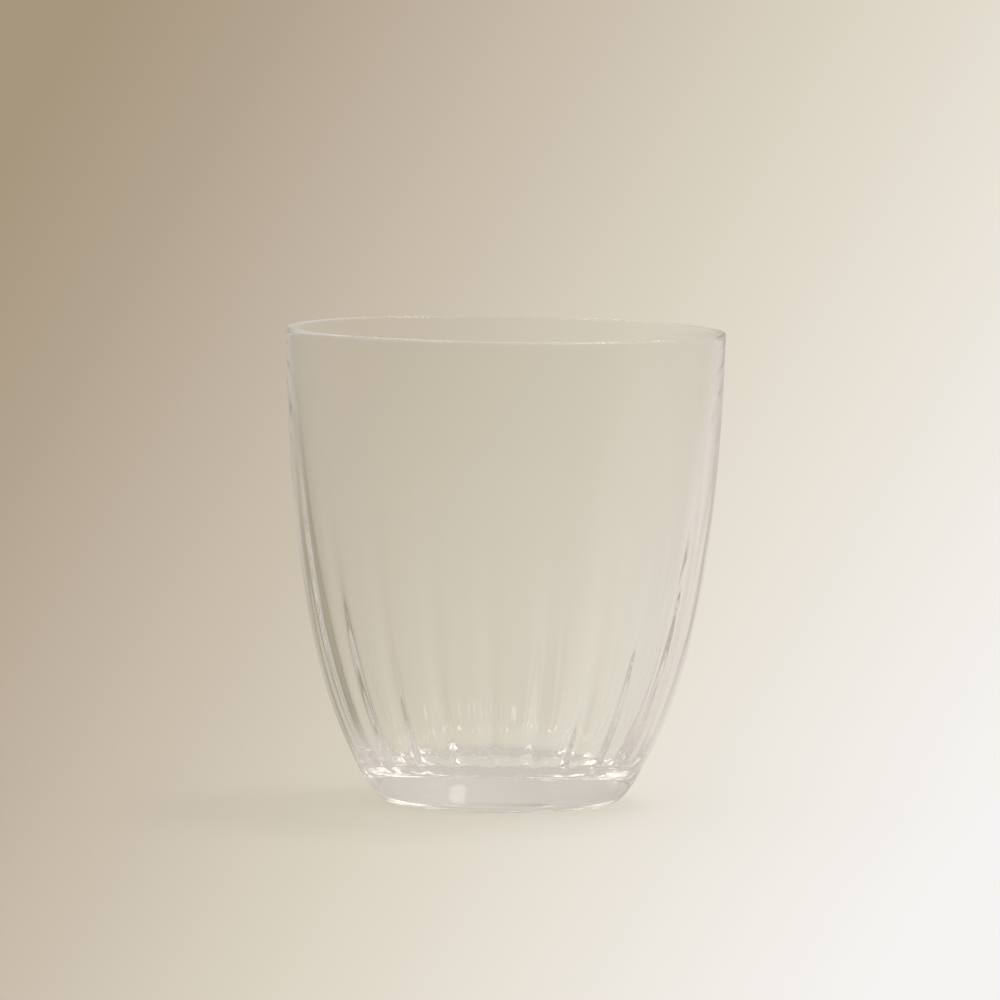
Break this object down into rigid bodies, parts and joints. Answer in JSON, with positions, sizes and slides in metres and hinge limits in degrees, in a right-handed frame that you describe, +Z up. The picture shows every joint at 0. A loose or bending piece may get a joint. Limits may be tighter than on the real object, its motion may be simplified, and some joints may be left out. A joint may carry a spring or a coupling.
{
  "type": "water glass",
  "caption": "Clear round tumbler with a gently flared bowl, soft upright ribs inside its lower half and a thick solid base, for holding a drink.",
  "frame": {"origin": "centre of the foot ring, on the table plane", "axes": "+Z up along the glass's axis, towards the mouth; the glass is round, so X and Y lie across it"},
  "size_m": [0.088, 0.088, 0.095],
  "materials": {
    "clear_glass": "clear, colourless, fire-polished gloss"
  },
  "bodies": {
    "root": {"bowl": "clear_glass", "base": "clear_glass"}
  },
  "joints": []
}
